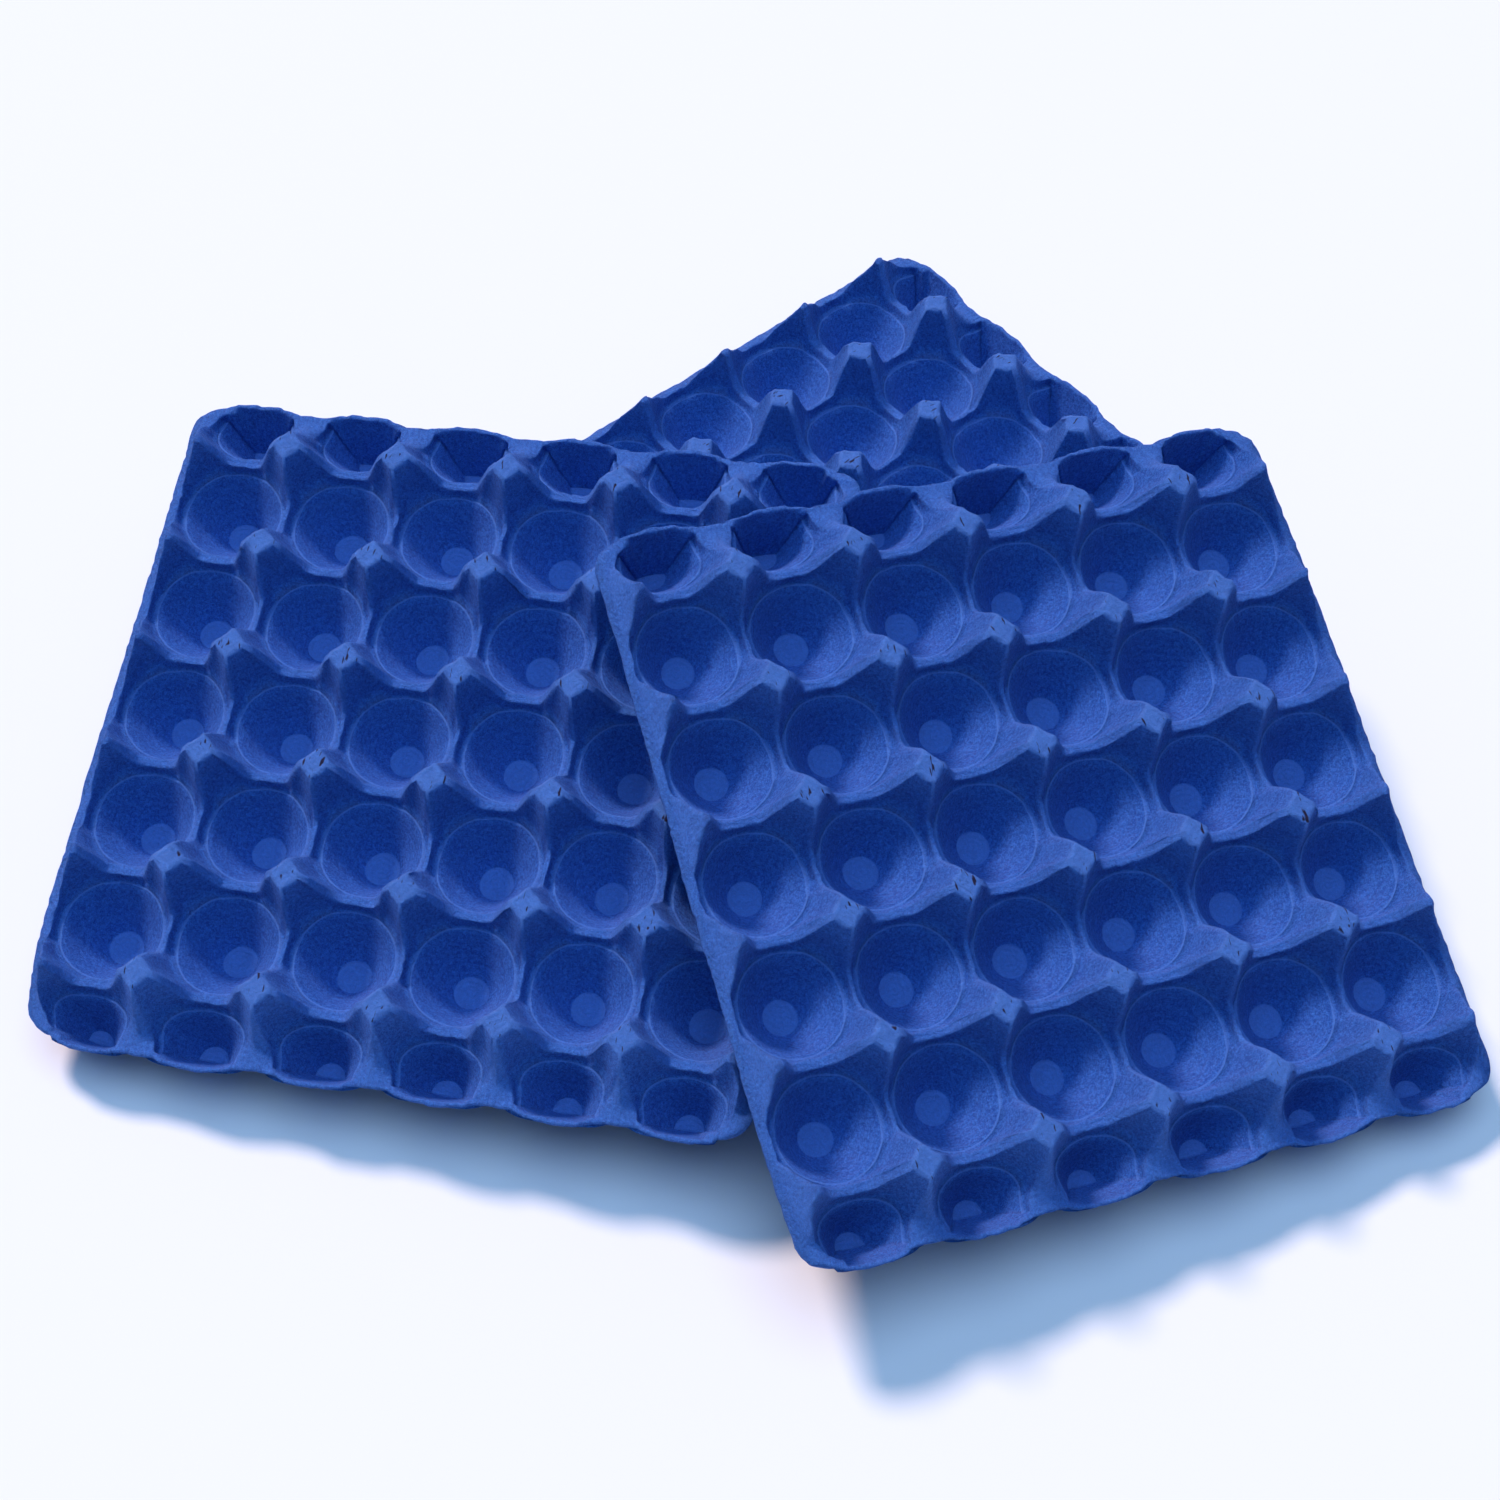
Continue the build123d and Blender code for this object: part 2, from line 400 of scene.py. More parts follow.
def fanned(points, share):
    """Points of a half cup drawn in along x, more so towards the rim, by a share of the fan's width."""
    most = (FAN_HALF_WIDTH - THIN_BAR_HALF_WIDTH) / RIM_HALF_WIDTH
    moved = points.copy()
    moved[:, 0] *= 1.0 - share * most * smooth((points[:, 1] + FAN_LENGTH) / FAN_LENGTH)
    return moved


def fan_height(along):
    """Height of the crest between two half cups: a power of the share of the way up to the post."""
    share = np.clip(np.abs(along) / FAN_LENGTH, 0.0, 1.0)
    return BAR_HEIGHT + (HEIGHT - BAR_HEIGHT) * share ** FAN_SAG


def side_quarter(foot, edge, border):
    """Upper edge, border and shelf of a quarter at the tray's side, cut by the half post's slope.

    Along the eighth next to x the border is moved out by the width of the flange.
    """
    flange = slice(0, EIGHTH + 1)
    post = slice(EIGHTH + 1, EIGHTH + 1 + POST_STEPS)
    edge = cut_by_slope(foot, edge)
    border = border.copy()
    border[flange, 0] = CELL + SIDE_FLANGE
    border[post, 0] = np.linspace(CELL, CELL - POST_HALF_WIDTH, POST_STEPS)
    border[:, 2] = np.minimum(border[:, 2], slope_height(border[:, 0]))
    shelf = lerp(edge, border, 0.5)
    shelf[:, 2] = np.minimum(shelf[:, 2], slope_height(shelf[:, 0]))
    shelf[flange, 0] = CELL
    shelf[flange, 1] = border[flange, 1] * SIDE_SHELF
    shelf[flange, 2] = BAR_HEIGHT
    return edge, border, shelf


def rim_quarter(count, at_side):
    """Rim of a half cup from the bar at its side to its crown, and the sheet's edge outside it.

    The rim is a flattened arch: y is the crown's less a fourth power of x. The sheet's edge leads
    straight out over the flange and then follows the scallop.
    """
    run = np.linspace(0.0, 1.0, count)
    x = RIM_HALF_WIDTH * np.cos(run * math.pi / 2) ** RIM_CROWDING
    y = RIM_CROWN * (1.0 - (np.abs(x) / RIM_HALF_WIDTH) ** 4)
    edge = np.stack([x, y, np.full(count, BAR_HEIGHT)], axis=1)
    start = CELL + SIDE_FLANGE if at_side else CELL
    onward = np.linspace(start, 0.0, count - RIM_LEAD + 1)[1:]
    out_x = np.concatenate([np.full(RIM_LEAD, start), onward])
    out_y = np.concatenate([np.linspace(0.0, END_FLANGE, RIM_LEAD), END_FLANGE + scallop(onward)])
    border = np.stack([out_x, out_y, np.full(count, BAR_HEIGHT)], axis=1)
    return edge, border


class Cell:
    """The spokes of one cup's cell, as arrays in their order round the cup.

    near is the angle to the nearest bar. foot, edge, shelf and border are the places where the wall
    starts behind the seam, where it ends, on the level part past it and on the line to the next
    cell. open_rim tells where the border is the sheet's own edge, and wall_share how far a spoke
    has left the bar for a half cup's outer wall.
    """

    def __init__(self, side, end):
        self.side, self.end = side, end
        quarters = [self.quarter(right, far) for right, far in ((1, 1), (-1, 1), (-1, -1), (1, -1))]
        joined = [np.concatenate([values[:-1] for values in parts]) for parts in zip(*quarters)]
        self.angle, self.near, self.foot, self.edge = joined[:4]
        self.shelf, self.border, self.open_rim, self.wall_share = joined[4:]

    def quarter(self, right, far):
        """One quarter, worked out between x and y and mirrored to its place; each sign is 1 or -1."""
        angle, edge, border = plain_quarter()
        near = np.minimum(angle, math.pi / 2 - angle)
        share = saddle_share(near)
        step = np.where(angle < math.pi / 4, THIN_STEP_RADIUS, STEP_RADIUS)
        foot = round_about(angle, lerp(LEDGE_RADIUS, step, share), lerp(LEDGE_HEIGHT, STEP_HEIGHT, share))
        at_side, at_rim = self.side and right > 0, self.end and far > 0
        open_rim = np.zeros(len(angle), bool)
        wall_share = np.zeros(len(angle))
        if self.end and not at_rim:
            border[:EIGHTH + 1, 2] = fan_height(border[:EIGHTH + 1, 1])
        shelf = lerp(edge, border, 0.5)
        if at_rim:
            edge, border = rim_quarter(len(angle), at_side)
            shelf = lerp(edge, border, 0.5)
            open_rim = (border[:, 1] > END_FLANGE - TINY) | at_side
            wall_share = smooth(np.arange(len(angle)) / RIM_BLEND)
        elif at_side:
            edge, border, shelf = side_quarter(foot, edge, border)
            open_rim[:EIGHTH + 1] = True
        foot, edge, shelf, border = [ring * [right, far, 1.0] for ring in (foot, edge, shelf, border)]
        rim_start = edge[0]
        if self.end and at_side:
            edge = within_corner(edge, CORNER_BAND)
            shelf = within_corner(shelf, CORNER_BAND / 2)
            border = within_corner(border, 0.0)
        if at_rim:
            foot = foot[0] + (edge - rim_start) * [RIM_FOOT, RIM_FOOT, 1.0]
        full = angle * right * far + (math.pi if right < 0 else 0.0)
        values = (full, near, foot, edge, shelf, border, open_rim, wall_share)
        return [value[::right * far] for value in values]


def half_disc(cell, radius, height, arch):
    """Edge of a half cup's disc: a circle, and on the outer wall's side a flat arch across it.

    The arch stands out by its height times 1 less the squared share of the way across.
    """
    across = cell.edge[:, 0] / RIM_HALF_WIDTH
    flat = np.stack([radius * across, arch * (1.0 - across ** 2), np.full(len(across), height)], axis=1)
    disc = np.where(cell.wall_share[:, None] > 0, flat, round_about(cell.angle, radius, height))
    return disc - [0.0, HALF_DISC_INSET, 0.0]


def outer_wall(cell, disc, seam, lip):
    """Seam, lip and foot of a half cup: from the bars at its sides they pass over into a plain wall."""
    edge, weight = cell.edge, cell.wall_share[:, None]
    plain = lerp(disc, edge, (BOWL_HEIGHT - WALL) / (BAR_HEIGHT - WALL))
    side_x, _, side_z = seam[0]
    beside = np.full(edge.shape, side_z)
    beside[:, 0] = side_x * np.sign(edge[:, 0])
    beside[:, 1] = RIM_SEAM * edge[:, 1]
    seam = np.where(weight > 0, lerp(beside, plain, weight), seam)
    lip = np.where(weight > 0, lerp(seam, edge, RIM_LIP), lip)
    foot = np.where(weight > 0, lerp(cell.foot, lerp(seam, edge, RIM_LEDGE), weight), cell.foot)
    return seam, lip, foot


def disc_and_bowl(cell, middle, disc, seam):
    """Rings from the middle of the disc up to the seam.

    The bowl's line from disc to seam sags by its belly times 4 times the share gone and left.
    """
    rings = [middle]
    for out, dish in DISC_INNER_RINGS:
        ring = lerp(middle, disc, out)
        ring[:, 2] = lerp(middle, disc, dish)[:, 2]
        rings.append(ring)
    rings.append(lerp(middle, disc, DISC_EDGE_START))
    rings.append(lerp(disc, seam, DISC_EDGE_END) + [0.0, 0.0, DISC_EDGE_BULGE])
    belly = BOWL_BELLY * lerp(1.0, OUTER_WALL_BELLY, cell.wall_share)
    for t in BOWL_RINGS:
        ring = lerp(disc, seam, t)
        ring[:, 2] -= belly * 4.0 * t * (1.0 - t)
        rings.append(ring)
    return rings


def wall_and_edge(cell, foot, edge, shelf):
    """Rings up the straight wall from its foot, and over the rounded upper edge.

    The rounding grows from the ridge's on the saddle's side to the post's halfway along the post.
    """
    along_post = (cell.near - RIDGE_ANGLE) / (math.pi / 4 - RIDGE_ANGLE)
    on_post = smooth(2.0 * along_post)[:, None]
    wall, top, pull = [lerp(*rounding, on_post) for rounding in (EDGE_WALL, EDGE_TOP, EDGE_PULL)]
    length = np.linalg.norm(edge - foot, axis=1, keepdims=True)
    straight = np.clip(1.0 - wall / np.maximum(length, TINY), WALL_LEFT, 1.0)
    width = np.linalg.norm((shelf - edge)[:, :2], axis=1, keepdims=True)
    onto = np.clip(top / np.maximum(width, TINY), 0.0, TOP_TAKEN)
    rings = [lerp(foot, edge, straight * t) for t in WALL_RINGS]
    return rings + [edge - pull * [0.0, 0.0, 1.0], lerp(edge, shelf, onto)]


def upper_rings(cell):
    """Rings of the upper side, from the middle of the disc out to the border.

    The seam is a lip with a ledge behind it, from which straight walls lead to the upper edge.
    """
    angle, share = cell.angle, saddle_share(cell.near)
    foot, edge, shelf = cell.foot, cell.edge, cell.shelf
    middle = np.zeros((len(angle), 3))
    middle[:, 2] = WALL - DISC_DISH
    disc = round_about(angle, DISC_RADIUS, WALL)
    seam_radius = lerp(BOWL_RADIUS, SADDLE_RADIUS, share)
    seam_height = lerp(BOWL_HEIGHT, SADDLE_HEIGHT, share)
    seam = round_about(angle, seam_radius, seam_height)
    lip_radius = lerp(LIP_RADIUS, SADDLE_RADIUS + SADDLE_LIP_OUT, share)
    lip_height = lerp(LIP_HEIGHT, SADDLE_HEIGHT + SADDLE_LIP_UP, share)
    lip = round_about(angle, lip_radius, lip_height)
    if cell.end:
        middle[:, 1:] = (-HALF_DISC_INSET, WALL + HALF_DISC_DOME)
        disc = half_disc(cell, HALF_DISC_RADIUS, WALL, HALF_DISC_ARCH)
        seam, lip, foot = outer_wall(cell, disc, seam, lip)
        seam, lip, foot, edge = [fanned(ring, 1.0) for ring in (seam, lip, foot, edge)]
        shelf = fanned(shelf, 0.5)
    rings = disc_and_bowl(cell, middle, disc, seam) + [lerp(seam, lip, 0.5), lip, foot]
    rings += wall_and_edge(cell, foot, edge, shelf) + [shelf, cell.border]
    return np.stack(rings)


def hollow_height(points, level):
    """Height of the underside outside the cups: level below the bars, a pyramid below each post."""
    rise = (HEIGHT - WALL - LEDGE_HEIGHT) / (HOLLOW_TOP - HOLLOW_FOOT)
    pyramid = LEDGE_HEIGHT + rise * (diagonal(points) - HOLLOW_FOOT)
    return np.clip(np.maximum(level, pyramid), 0.0, HEIGHT - WALL)


def lower_rings(cell):
    """Rings of the underside, one wall below the upper side.

    A cup's outer face is a cone, from its disc up to the crease where the hollows begin. Each
    hollow below a post is a square pyramid with a flat top.
    """
    spokes = len(cell.angle)
    border = cell.border.copy()
    border[:, 2] = hollow_height(border, UNDER_BAR - UNDER_BORDER_SAG)
    middle = np.zeros((spokes, 3))
    radius = DISC_RADIUS + UNDER_DISC_MARGIN
    disc = round_about(cell.angle, radius, UNDER_DISC_HEIGHT)
    reach = UNDER_CREASE_REACH * np.hypot(border[:, 0], border[:, 1])
    crease_radius = np.minimum(HOLLOW_FOOT / np.cos(math.pi / 4 - cell.near), reach)
    lean = (BOWL_RADIUS - DISC_RADIUS) / (BOWL_HEIGHT - WALL)
    crease_height = np.minimum((crease_radius - radius) / lean, UNDER_BAR - UNDER_CREASE_SAG)
    crease = round_about(np.arctan2(border[:, 1], border[:, 0]), crease_radius, crease_height)
    run = diagonal(border) - diagonal(crease)
    share = np.clip((HOLLOW_TOP - diagonal(crease)) / np.maximum(run, TINY), 0.0, HOLLOW_REACH)
    top = lerp(crease, border, share[:, None])
    top[:, 2] = hollow_height(top, UNDER_BAR - UNDER_TOP_SAG)
    if cell.end:
        outer = cell.wall_share > 0
        middle[:, 1] = -HALF_DISC_INSET
        half_radius = HALF_DISC_RADIUS + UNDER_HALF_DISC_MARGIN
        disc = half_disc(cell, half_radius, UNDER_DISC_HEIGHT, UNDER_HALF_DISC_ARCH)
        under = cell.edge.copy()
        under[:, 1] = np.minimum(under[:, 1] + UNDER_RIM_OUT, border[:, 1])
        under[:, 2] = UNDER_BAR
        crease = np.where(outer[:, None], lerp(disc, under, UNDER_RIM_CREASE), crease)
        top = np.where(outer[:, None], under, top)
        border[outer, 2] = UNDER_BAR
    if cell.side:
        for ring in (crease, top, border):
            ring[:, 2] = np.minimum(ring[:, 2], slope_height(ring[:, 0] + UNDER_SLOPE_OUT) - WALL)
    flat = lerp(middle, disc, UNDER_DISC_FLAT) * [1.0, 1.0, 0.0]
    return np.stack([middle, flat, disc, lerp(disc, crease, 0.5), crease, top, border])


def grid_faces(rings, spokes, first):
    """Quads between neighbouring rings and spokes, the last spoke joined to the first."""
    ring, spoke = np.meshgrid(np.arange(rings - 1) * spokes, np.arange(spokes), indexing="ij")
    onward = (spoke + 1) % spokes
    corners = (ring + spoke, ring + spokes + spoke, ring + spokes + onward, ring + onward)
    return first + np.stack(corners, axis=-1).reshape(-1, 4)


def wear_and_painted_light_of(cell, upper, lower):
    """Two shares for each point: how pale the sheet is painted there, for rubbed wear and as painted
    light, and how ragged it is.
    """
    wear_and_painted_light = np.zeros((len(upper) + len(lower), len(cell.angle), 2))
    pale_and_lit, ragged = wear_and_painted_light[..., 0], wear_and_painted_light[..., 1]
    edge = slice(len(upper) - EDGE_RINGS, len(upper))
    below_edge = len(upper) - EDGE_RINGS - 1
    on_post = upper[-EDGE_RINGS:, :, 2] > HEIGHT - POST_TOP_BAND
    # Painted light: the discs face up and are painted pale as if lit from above.
    pale_and_lit[:DISC_RINGS] = PAINTED_LIGHT_DISC
    # Painted highlight: a pale line along the seam's lip, except on a half cup's outer wall.
    pale_and_lit[SEAM_RING:SEAM_RING + 2] = 1.0 - cell.wall_share
    # Upper edges and post tops are paler: partly rubbed wear, partly painted highlight on the lit tops.
    pale_and_lit[below_edge] = WORN_AND_LIT_BELOW_EDGE
    pale_and_lit[edge] = np.where(on_post, WORN_AND_LIT_POST, WORN_AND_LIT_EDGE)
    ragged[below_edge] = RAGGED_BELOW_EDGE
    ragged[edge] = 1.0
    ragged[-1] = 1.0
    return wear_and_painted_light.reshape(-1, 2)


def cell_mesh(side, end):
    """Points, quads and shares of wear and painted light of one cell: upper side, underside and the
    sheet's edge between them.
    """
    cell = Cell(side, end)
    upper, lower = upper_rings(cell), lower_rings(cell)
    spokes = len(cell.angle)
    points = np.concatenate([upper.reshape(-1, 3), lower.reshape(-1, 3)])
    top_faces = grid_faces(len(upper), spokes, 0)
    under_faces = grid_faces(len(lower), spokes, len(upper) * spokes)[:, ::-1]
    rim = np.flatnonzero(cell.open_rim & np.roll(cell.open_rim, -1))
    onward = (rim + 1) % spokes
    top = (len(upper) - 1) * spokes
    low = (len(upper) + len(lower) - 1) * spokes
    edge_faces = np.stack([top + rim, low + rim, low + onward, top + onward], axis=1)
    return points, np.concatenate([top_faces, under_faces, edge_faces]), wear_and_painted_light_of(cell, upper, lower)


def lattice_noise(points, size, table):
    """Smooth noise from -1 to 1: the table's values at the corners of cubes of the given size,
    blended inside each cube by the smooth weight along every axis."""
    place = points / size
    corner = np.floor(place).astype(int)
    share = smooth(place - corner)
    total = 0.0
    for step in np.ndindex(2, 2, 2):
        weight = np.prod(np.where(np.array(step, bool), share, 1.0 - share), axis=1)
        index = (corner + step) % len(table)
        total = total + weight * table[index[:, 0], index[:, 1], index[:, 2]]
    return total


def uneven(points, ragged, seed):
    """Points pushed about by smooth noise of a few sizes, and by finer noise where they are ragged."""
    draw = np.random.default_rng(seed)
    push = np.zeros_like(points)
    for size, reach in BUMPS:
        for axis in range(3):
            table = draw.uniform(-1, 1, (BUMP_TABLE,) * 3)
            push[:, axis] += reach * lattice_noise(points, size, table)
    for axis in range(3):
        table = draw.uniform(-1, 1, (RAGGED_TABLE,) * 3)
        push[:, axis] += RAGGED_PUSH * lattice_noise(points * RAGGED_SQUEEZE, RAGGED_SIZE, table) * ragged
    return points + push


def without_doubles(faces):
    """Quads with four different points, and as triangles those with two neighbouring points the same."""
    same = faces == np.roll(faces, -1, axis=1)
    count = same.sum(axis=1)
    quads = faces[count == 0].tolist()
    triangles = faces[count == 1][~same[count == 1]].reshape(-1, 3).tolist()
    return quads + triangles


def tray_mesh(seed):
    """A whole tray in its own frame: points as moulded, the same points made uneven, faces and paleness,
    which is partly wear and partly painted light.

    The cells lie on the lattice, those at the low side and the low end mirrored, and points that
    meet are merged.
    """
    points, faces, wear_and_painted_light, first = [], [], [], 0
    end_row = (FULL_ROWS + 1) // 2
    for column in range(COLUMNS):
        for row in range(-end_row, end_row + 1):
            x = (column - (COLUMNS - 1) / 2) * PITCH
            side, end = column in (0, COLUMNS - 1), abs(row) == end_row
            mirror = np.array([-1.0 if side and x < 0 else 1.0, -1.0 if end and row < 0 else 1.0, 1.0])
            cell_points, cell_faces, cell_wear_and_light = cell_mesh(side, end)
            if mirror[0] * mirror[1] < 0:
                cell_faces = cell_faces[:, ::-1]
            points.append(cell_points * mirror + [x, row * PITCH, 0.0])
            faces.append(cell_faces + first)
            wear_and_painted_light.append(cell_wear_and_light)
            first += len(cell_points)
    points, faces, wear_and_painted_light = np.concatenate(points), np.concatenate(faces), np.concatenate(wear_and_painted_light)
    steps = np.round(points * MERGE_STEPS).astype(np.int64)
    _, index, inverse = np.unique(steps, axis=0, return_index=True, return_inverse=True)
    points, wear_and_painted_light, faces = points[index], wear_and_painted_light[index], inverse.reshape(-1)[faces]
    return points, uneven(points, wear_and_painted_light[:, 1], seed), without_doubles(faces), wear_and_painted_light[:, 0]


def blunted(points, name):
    """Points near a tray's blunt corner driven in along the diagonal, evenly less away from its tip."""
    right, far, depth = BLUNTED[name]
    tip = np.abs(points[:, :2]).max(axis=0) * [right, far]
    away = (tip - points[:, :2]) @ [right, far] / math.sqrt(2)
    share = np.clip(1.0 - away / BLUNT_REACH, 0.0, 1.0)
    moved = points.copy()
    moved[:, :2] -= np.outer(share, [right, far]) * depth / math.sqrt(2)
    return moved


def placed(points, name):
    """Points of a tray turned to its heading, leaned downhill, and set on the CAD tray, in metres.

    The lean is a turn about the level line across the downhill way. Before its corner is blunted,
    the tray is centred on the box of the CAD tray in plan, and its lowest point is as low.
    """
    heading, downhill, lean = (math.radians(value) for value in TRAYS[name])
    level = Vector((-math.sin(downhill), math.cos(downhill), 0.0))
    turn = Matrix.Rotation(lean, 3, level) @ Matrix.Rotation(heading, 3, "Z")
    turn = np.array(turn).T / MM_PER_M
    whole = points @ turn
    low, high = (np.array(corner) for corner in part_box(name))
    shift = (low + high - whole.min(axis=0) - whole.max(axis=0)) / 2
    shift[2] = low[2] - whole[:, 2].min()
    return blunted(points, name) @ turn + shift


def linear(code):
    """Linear colour from an sRGB hex code: each share to the power 2.4, past a short straight start."""
    values = [int(code[i:i + 2], 16) / 255 for i in (0, 2, 4)]
    return [v / 12.92 if v <= 0.04045 else ((v + 0.055) / 1.055) ** 2.4 for v in values] + [1.0]


def node(tree, kind, settings=None, links=None):
    """Adds a node, sets its properties or input values, and joins its inputs to other outputs."""
    made = tree.nodes.new(kind)
    for key, value in (settings or {}).items():
        if isinstance(key, str) and hasattr(made, key):
            setattr(made, key, value)
        else:
            made.inputs[key].default_value = value
    for key, output in (links or {}).items():
        tree.links.new(output, made.inputs[key])
    return made


def felt(tree, place):
    """Short fibres and finer fibre ends, added up: the felt-like grain and the pale specks all over."""
    fibres = node(tree, "ShaderNodeTexNoise", {"Scale": 1 / FIBRE, "Detail": 4.0, "Roughness": 0.75},
                  {"Vector": place})
    ends = node(tree, "ShaderNodeTexNoise", {"Scale": 1 / FIBRE_END, "Detail": 3.0, "Roughness": 0.8},
                {"Vector": place})
    return node(tree, "ShaderNodeMath", {"operation": "ADD"},
                {0: fibres.outputs["Fac"], 1: ends.outputs["Fac"]}).outputs[0]


def mould_rings(tree, place):
    """Faint rings round each cup, left by the turned mould: the place is wrapped to one cell."""
    wrapped = node(tree, "ShaderNodeVectorMath",
                   {"operation": "WRAP", 1: (PITCH, CELL, FAR), 2: (0.0, -CELL, -FAR)}, {0: place})
    from_middle = node(tree, "ShaderNodeVectorMath", {"operation": "SUBTRACT", 1: (CELL, 0.0, 0.0)},
                       {0: wrapped.outputs[0]})
    return node(tree, "ShaderNodeTexWave",
                {"wave_type": "RINGS", "rings_direction": "Z",
                 "Scale": math.tau / (WAVE_FACTOR * RING_SPACING),
                 "Distortion": 3.0, "Detail": 3.0, "Detail Scale": 1.5},
                {"Vector": from_middle.outputs[0]}).outputs["Fac"]


def post_tear_shade(tree, place):
    """Where the pulp is torn: short slits in the flat tops of the posts, along the files of cups, painted
    dark as the shade inside them.
    """
    drawn_out = node(tree, "ShaderNodeVectorMath",
                     {"operation": "MULTIPLY", 1: (1.0, TEAR_SLENDERNESS, 0.0)}, {0: place})
    noise = node(tree, "ShaderNodeTexNoise", {"Scale": 1 / TEAR_WIDTH, "Detail": 1.0, "Distortion": 0.4},
                 {"Vector": drawn_out.outputs[0]})
    narrow = node(tree, "ShaderNodeMapRange", {"From Min": 0.66, "From Max": 0.70},
                  {"Value": noise.outputs["Fac"]})
    split = node(tree, "ShaderNodeSeparateXYZ", None, {"Vector": place})
    on_top = node(tree, "ShaderNodeMapRange", {"From Min": HEIGHT - 0.6, "From Max": HEIGHT - 0.2},
                  {"Value": split.outputs["Z"]})
    return node(tree, "ShaderNodeMath", {"operation": "MULTIPLY"},
                {0: narrow.outputs[0], 1: on_top.outputs[0]}).outputs[0]


def pulp_colour(tree, place, grain, worn_and_lit):
    """Clots took up more or less dye, fibres are paler, worn places and painted light paler still, and
    tears painted dark with the shade inside them.
    """
    clots = node(tree, "ShaderNodeTexNoise", {"Scale": 1 / CLOT, "Detail": 3.0}, {"Vector": place})
    dye = node(tree, "ShaderNodeMix",
               {"data_type": "RGBA", MIX_A: linear(DARK_DYE), MIX_B: linear(PALE_DYE)},
               {"Factor": clots.outputs["Fac"]})
    strands = node(tree, "ShaderNodeMapRange", {"From Min": 0.86, "From Max": 1.20, "To Max": 0.9},
                   {"Value": grain})
    fibrous = node(tree, "ShaderNodeMix", {"data_type": "RGBA", MIX_B: linear(FIBRE_COLOUR)},
                   {"Factor": strands.outputs[0], MIX_A: dye.outputs[MIXED]})
    # Paler colour for rubbed wear and for painted light: the lit discs, the seam's lip and the lit tops.
    rubbed_and_lit = node(tree, "ShaderNodeMath", {"operation": "MULTIPLY", 1: 0.6}, {0: worn_and_lit})
    paler_and_lit = node(tree, "ShaderNodeMix", {"data_type": "RGBA", MIX_B: linear(WORN_AND_LIT_COLOUR)},
                 {"Factor": rubbed_and_lit.outputs[0], MIX_A: fibrous.outputs[MIXED]})
    # Painted shade: the slits in the posts' tops are painted near black.
    return node(tree, "ShaderNodeMix", {"data_type": "RGBA", MIX_B: linear(TEAR_SHADE_COLOUR)},
                {"Factor": post_tear_shade(tree, place), MIX_A: paler_and_lit.outputs[MIXED]}).outputs[MIXED]


def dyed_pulp():
    """Waste-paper pulp, moulded wet and dyed in the mass: matt and felt-like, with a faint bloom.

    The mould attribute is the place in the tray's own frame, in millimetres, and the other attribute
    says how pale the sheet is painted: rubbed wear, and painted light on the discs, the seam's lip and
    the lit tops.
    """
    material = bpy.data.materials.new("moulded pulp dyed blue")
    material.use_nodes = True
    tree = material.node_tree
    shader = tree.nodes["Principled BSDF"]
    place = node(tree, "ShaderNodeAttribute", {"attribute_name": "mould"}).outputs["Vector"]
    worn_and_lit = node(tree, "ShaderNodeAttribute", {"attribute_name": "wear_and_painted_light"}).outputs["Fac"]
    grain = felt(tree, place)
    tree.links.new(pulp_colour(tree, place, grain, worn_and_lit), shader.inputs["Base Color"])
    # Loose fibres scatter what little light would be mirrored, and stand up as a thin bloom.
    shader.inputs["Roughness"].default_value = 0.92
    shader.inputs["Specular IOR Level"].default_value = 0.25
    shader.inputs["Sheen Weight"].default_value = 0.16
    shader.inputs["Sheen Roughness"].default_value = 0.6
    shader.inputs["Sheen Tint"].default_value = linear(BLOOM_COLOUR)
    # The relief is pressed in by the mould first, and the felt lies over it.
    pressed = node(tree, "ShaderNodeBump", {"Strength": 1.0, "Distance": RING_RELIEF},
                   {"Height": mould_rings(tree, place)})
    rough = node(tree, "ShaderNodeBump", {"Strength": 1.0, "Distance": FELT_RELIEF},
                 {"Height": grain, "Normal": pressed.outputs[0]})
    tree.links.new(rough.outputs["Normal"], shader.inputs["Normal"])
    return material


def make_tray(name, seed, material):
    """One tray: the mesh of its sheet, in the place of the CAD tray of the same name."""
    mould, points, faces, pale_and_lit = tray_mesh(seed)
    mesh = bpy.data.meshes.new(name + "_pulp")
    mesh.from_pydata(placed(points, name), [], faces)
    # Paleness for the shader: partly rubbed wear, partly painted light.
    mesh.attributes.new("wear_and_painted_light", "FLOAT", "POINT").data.foreach_set("value", pale_and_lit)
    mesh.attributes.new("mould", "FLOAT_VECTOR", "POINT").data.foreach_set("vector", mould.ravel())
    mesh.validate()
    mesh.polygons.foreach_set("use_smooth", np.ones(len(mesh.polygons), bool))
    mesh.materials.append(material)
    tray = bpy.data.objects.new(name + "_pulp", mesh)
    bpy.context.scene.collection.objects.link(tray)
    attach(tray, "root")
    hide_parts(name)


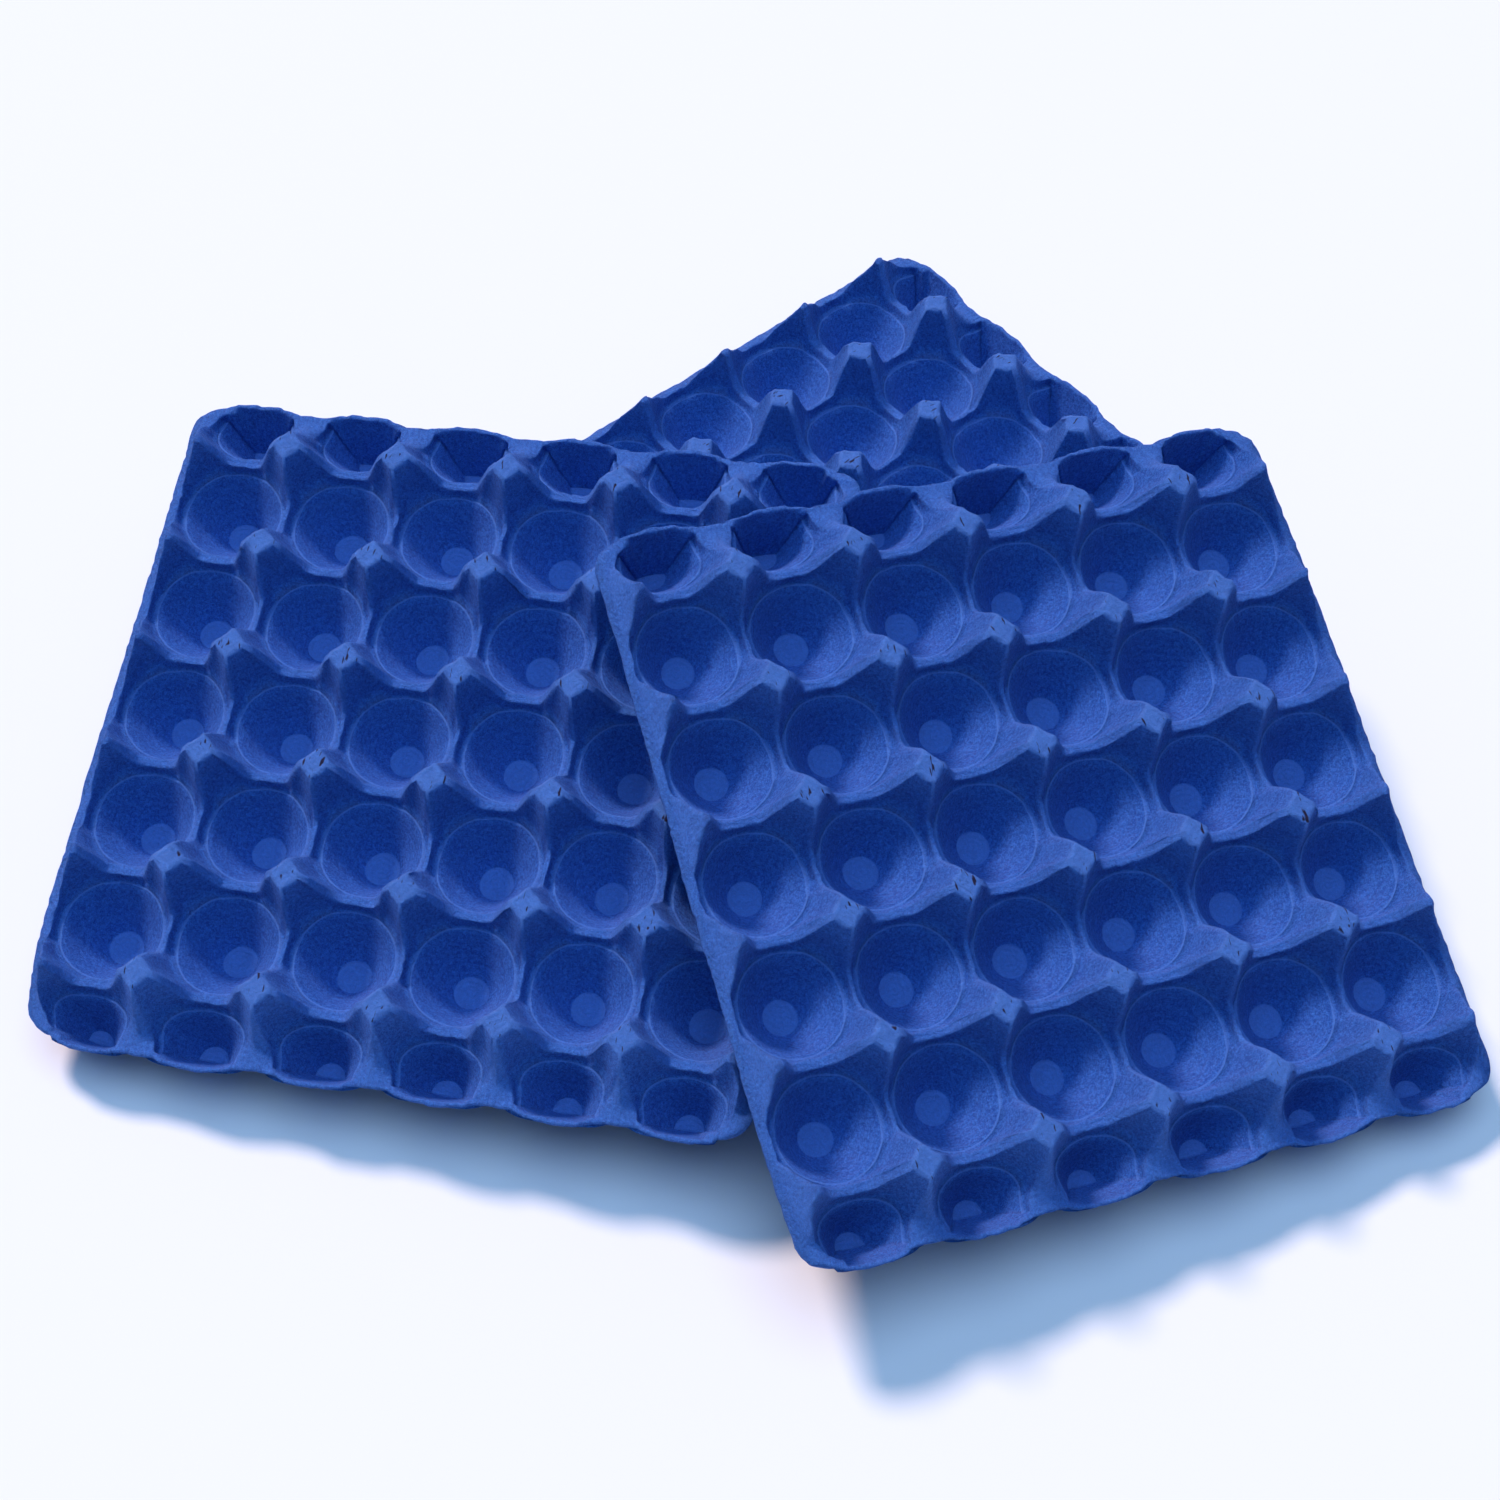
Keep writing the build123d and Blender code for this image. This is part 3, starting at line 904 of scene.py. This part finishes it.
def make_floor():
    """Plain pale floor of matt paper, so that nothing shows on it but the pile's shadow."""
    bpy.ops.mesh.primitive_plane_add(size=FLOOR_SIZE, location=(0, 0, 0))
    floor = bpy.context.object
    floor.name = "floor"
    material = bpy.data.materials.new("white paper sweep")
    material.use_nodes = True
    shader = material.node_tree.nodes["Principled BSDF"]
    shader.inputs["Base Color"].default_value = linear(FLOOR_COLOUR)
    shader.inputs["Roughness"].default_value = 0.9
    floor.data.materials.append(material)


def sun(name, elevation, azimuth, spread, colour, strength):
    """Distant lamp of the given size in the sky, shining from the given elevation and azimuth."""
    lamp = bpy.data.lights.new(name, "SUN")
    lamp.angle = spread
    lamp.color = linear(colour)[:3]
    lamp.energy = strength
    holder = bpy.data.objects.new(name, lamp)
    holder.rotation_euler = (math.pi / 2 - elevation, 0, azimuth + math.pi / 2)
    bpy.context.scene.collection.objects.link(holder)


def make_lights():
    """A warm key from behind on the left, a cool soft light from above, and a sky that fills in."""
    sun("key", KEY_ELEVATION, KEY_AZIMUTH, KEY_SPREAD, KEY_COLOUR, KEY_STRENGTH)
    sun("top", math.pi / 2, 0.0, TOP_SPREAD, TOP_COLOUR, TOP_STRENGTH)
    world = bpy.data.worlds.new("studio")
    world.use_nodes = True
    background = world.node_tree.nodes["Background"]
    background.inputs["Color"].default_value = linear(SKY_COLOUR)
    background.inputs["Strength"].default_value = SKY_STRENGTH
    bpy.context.scene.world = world
    bpy.context.scene.view_settings.view_transform = "Standard"


def make_camera():
    """Camera at the photograph's angle: back from its target along the line of sight, and rolled."""
    forward = np.array([0.0, math.cos(VIEW_ELEVATION), -math.sin(VIEW_ELEVATION)])
    level = np.array([1.0, 0.0, 0.0])
    upright = np.cross(level, forward)
    right = level * math.cos(VIEW_ROLL) + upright * math.sin(VIEW_ROLL)
    up = upright * math.cos(VIEW_ROLL) - level * math.sin(VIEW_ROLL)
    eye = np.array(VIEW_TARGET) - forward * VIEW_DISTANCE
    camera = bpy.data.objects.new("camera", bpy.data.cameras.new("camera"))
    camera.data.angle = VIEW_ANGLE
    camera.matrix_world = Matrix(np.stack([right, up, -forward, eye], axis=1).tolist() + [[0, 0, 0, 1]])
    bpy.context.scene.collection.objects.link(camera)
    bpy.context.scene.camera = camera


pulp = dyed_pulp()
for seed, name in enumerate(TRAYS):
    make_tray(name, seed, pulp)
make_floor()
make_lights()
make_camera()
